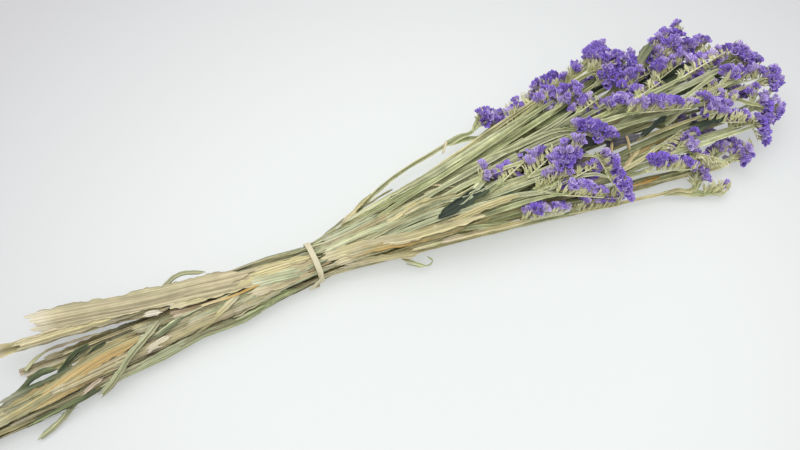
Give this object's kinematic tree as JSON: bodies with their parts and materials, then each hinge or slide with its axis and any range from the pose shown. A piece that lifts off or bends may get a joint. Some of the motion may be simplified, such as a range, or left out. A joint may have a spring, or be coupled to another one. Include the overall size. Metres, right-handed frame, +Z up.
{
  "type": "bunch of dried statice",
  "caption": "Dried statice bunch lying on its side: winged stems held by a rubber band, fanning out into one-sided spikes of papery violet flowers.",
  "frame": {"origin": "on the surface that the bunch lies on, under the middle of its bounding box", "axes": "+X along the bunch from the cut ends to the flowers, +Y to the left of that, +Z up from the surface it lies on"},
  "size_m": [0.6845, 0.1624, 0.065],
  "materials": {
    "dry_stem": "dry winged stems, grey-green to straw, ridged lengthwise, matt",
    "papery_flower": "thin papery violet calyces, pleated and matt, with pale green bracts behind them",
    "dry_leaf": "dry strap leaves and torn stem wings, crumpled, straw, beige and grey-green",
    "natural_rubber": "cream natural rubber, satin, slightly dusty"
  },
  "bodies": {
    "root": {"stem_01": "dry_stem", "stem_02": "dry_stem", "stem_03": "dry_stem", "stem_04": "dry_stem", "stem_05": "dry_stem", "stem_06": "dry_stem", "stem_07": "dry_stem", "stem_08": "dry_stem", "stem_09": "dry_stem", "stem_10": "dry_stem", "stem_11": "dry_stem", "stem_12": "dry_stem", "stem_13": "dry_stem", "spike_01a": "papery_flower", "spike_01b": "papery_flower", "spike_02a": "papery_flower", "spike_02b": "papery_flower", "spike_03a": "papery_flower", "spike_03b": "papery_flower", "spike_03c": "papery_flower", "spike_04a": "papery_flower", "spike_04b": "papery_flower", "spike_05a": "papery_flower", "spike_05b": "papery_flower", "spike_05c": "papery_flower", "spike_06a": "papery_flower", "spike_06b": "papery_flower", "spike_06c": "papery_flower", "spike_07a": "papery_flower", "spike_07b": "papery_flower", "spike_07c": "papery_flower", "spike_08a": "papery_flower", "spike_08b": "papery_flower", "spike_08c": "papery_flower", "spike_09a": "papery_flower", "spike_09b": "papery_flower", "spike_09c": "papery_flower", "spike_10a": "papery_flower", "spike_10b": "papery_flower", "spike_10c": "papery_flower", "spike_11a": "papery_flower", "spike_11b": "papery_flower", "spike_12a": "papery_flower", "spike_12b": "papery_flower", "spike_12c": "papery_flower", "spike_13a": "papery_flower", "spike_13b": "papery_flower", "leaf_broad": "dry_leaf", "leaf_curled": "dry_leaf", "leaf_over": "dry_leaf", "leaf_between": "dry_leaf", "leaf_low": "dry_leaf", "leaf_tendril": "dry_leaf", "leaf_straw": "dry_leaf", "rubber_band": "natural_rubber"}
  },
  "joints": []
}
